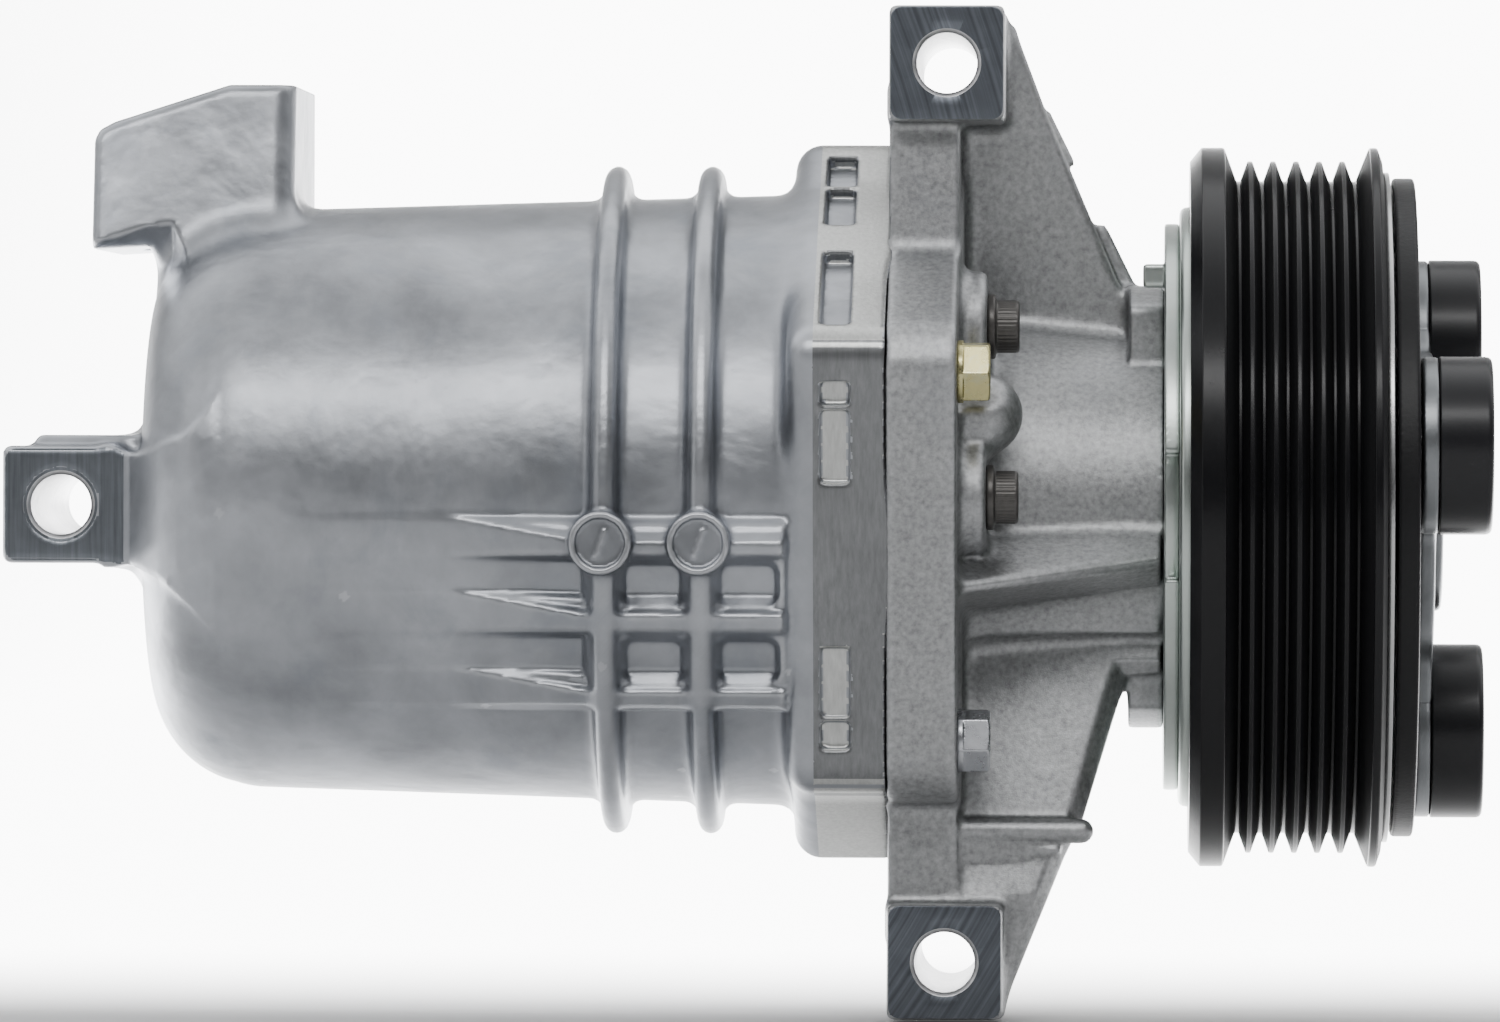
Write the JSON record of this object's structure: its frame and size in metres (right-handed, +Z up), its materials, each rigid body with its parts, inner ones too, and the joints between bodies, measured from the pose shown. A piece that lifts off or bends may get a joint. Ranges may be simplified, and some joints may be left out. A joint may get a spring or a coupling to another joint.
{
  "type": "vehicle air-conditioning compressor",
  "caption": "Belt-driven rotary-vane refrigerant compressor with a grooved clutch pulley, cast shell, three through-bolt lugs and a port block.",
  "frame": {"origin": "on the shaft axis, at the centre plane of the belt track", "axes": "+X along the shaft out of the pulley end, +Z up across the upper front lug, +Y towards the engine that the lugs seat on"},
  "size_m": [0.2267, 0.1115, 0.1543],
  "materials": {
    "shell_cast": "smooth die-cast, satin",
    "head_cast": "grainy cast with machined faces",
    "zinc_yellow": "yellow-passivated zinc",
    "black_oxide": "black oxide, satin",
    "pump_alloy": "machined",
    "bearing_steel": "ground and polished",
    "spring_steel": "satin",
    "seal_rubber": "matte",
    "brass": "satin",
    "winding": "potted winding",
    "cage_plastic": "matte",
    "black_pulley": "black coating, satin",
    "black_armature": "black coating, slightly grainy",
    "hub_steel": "satin",
    "black_cup": "black coating, satin"
  },
  "bodies": {
    "casing": {"rear_shell": "shell_cast", "front_head": "head_cast", "shell_oring": "seal_rubber", "head_bolts": "zinc_yellow", "pump_bolts": "black_oxide", "front_side_block": "pump_alloy", "cylinder_block": "pump_alloy", "rear_side_block": "pump_alloy", "rear_block_oring": "seal_rubber", "block_dowels": "bearing_steel", "discharge_reeds": "spring_steel", "reed_stops": "spring_steel", "reed_screws": "spring_steel", "separator_case": "pump_alloy", "separator_screen": "spring_steel", "relief_valve": "brass", "front_bearing_shell": "bearing_steel", "rear_bearing_shell": "bearing_steel", "shaft_seal": "seal_rubber", "seal_clip": "black_oxide", "coil_plate": "zinc_yellow", "coil_cup": "zinc_yellow", "coil_winding": "winding", "coil_clip": "black_oxide", "lead_grommet": "seal_rubber", "bearing_inner_race": "bearing_steel", "bearing_clip": "black_oxide"},
    "pulley_set": {"pulley": "black_pulley", "bearing_outer_race": "bearing_steel", "bearing_seals": "seal_rubber"},
    "ball_set": {"bearing_balls": "bearing_steel", "bearing_cage": "cage_plastic"},
    "shaft_set": {"shaft": "bearing_steel", "rotor": "pump_alloy", "hub": "hub_steel", "hub_plate": "hub_steel", "damper_cup_1": "black_cup", "damper_cup_2": "black_cup", "damper_cup_3": "black_cup", "damper_rubber_1": "seal_rubber", "damper_rubber_2": "seal_rubber", "damper_rubber_3": "seal_rubber", "clutch_shim": "bearing_steel", "hub_bolt": "black_oxide"},
    "armature_set": {"armature_plate": "black_armature", "armature_pins": "bearing_steel"},
    "front_needle_set": {"front_bearing_needles": "bearing_steel"},
    "rear_needle_set": {"rear_bearing_needles": "bearing_steel"},
    "vane_set_1": {"vane_1": "pump_alloy"},
    "vane_set_2": {"vane_2": "pump_alloy"},
    "vane_set_3": {"vane_3": "pump_alloy"},
    "vane_set_4": {"vane_4": "pump_alloy"},
    "vane_set_5": {"vane_5": "pump_alloy"}
  },
  "joints": [
    {"name": "pulley_spin", "type": "hinge", "parent": "casing", "child": "pulley_set", "pos_m": [0, 0, 0], "axis": [1, 0, 0], "continuous": true},
    {"name": "ball_orbit", "type": "hinge", "parent": "casing", "child": "ball_set", "pos_m": [0, 0, 0], "axis": [1, 0, 0], "continuous": true},
    {"name": "shaft_spin", "type": "hinge", "parent": "casing", "child": "shaft_set", "pos_m": [0, 0, 0], "axis": [1, 0, 0], "continuous": true},
    {"name": "front_needle_orbit", "type": "hinge", "parent": "casing", "child": "front_needle_set", "pos_m": [0, 0, 0], "axis": [1, 0, 0], "continuous": true},
    {"name": "rear_needle_orbit", "type": "hinge", "parent": "casing", "child": "rear_needle_set", "pos_m": [0, 0, 0], "axis": [1, 0, 0], "continuous": true},
    {"name": "armature_engage", "type": "slide", "parent": "shaft_set", "child": "armature_set", "axis": [-1, 0, 0], "range_m": [0, 0.00048], "stiffness_N_per_m": 20000},
    {"name": "vane_slide_1", "type": "slide", "parent": "shaft_set", "child": "vane_set_1", "axis": [0, -0.7218, 0.6921], "range_m": [0, 0.0006]},
    {"name": "vane_slide_2", "type": "slide", "parent": "shaft_set", "child": "vane_set_2", "axis": [0, 0.4352, 0.9003], "range_m": [0, 0.006]},
    {"name": "vane_slide_3", "type": "slide", "parent": "shaft_set", "child": "vane_set_3", "axis": [0, 0.9907, -0.1357], "range_m": [0, 0.0006]},
    {"name": "vane_slide_4", "type": "slide", "parent": "shaft_set", "child": "vane_set_4", "axis": [0, 0.1771, -0.9842], "range_m": [0, 0.0039]},
    {"name": "vane_slide_5", "type": "slide", "parent": "shaft_set", "child": "vane_set_5", "axis": [0, -0.8813, -0.4726], "range_m": [0, 0.0039]}
  ],
  "couplings": [
    {"joint": "ball_orbit", "follows": "pulley_spin", "ratio": 0.5752},
    {"joint": "front_needle_orbit", "follows": "shaft_spin", "ratio": 0.4412},
    {"joint": "rear_needle_orbit", "follows": "shaft_spin", "ratio": 0.4412}
  ]
}
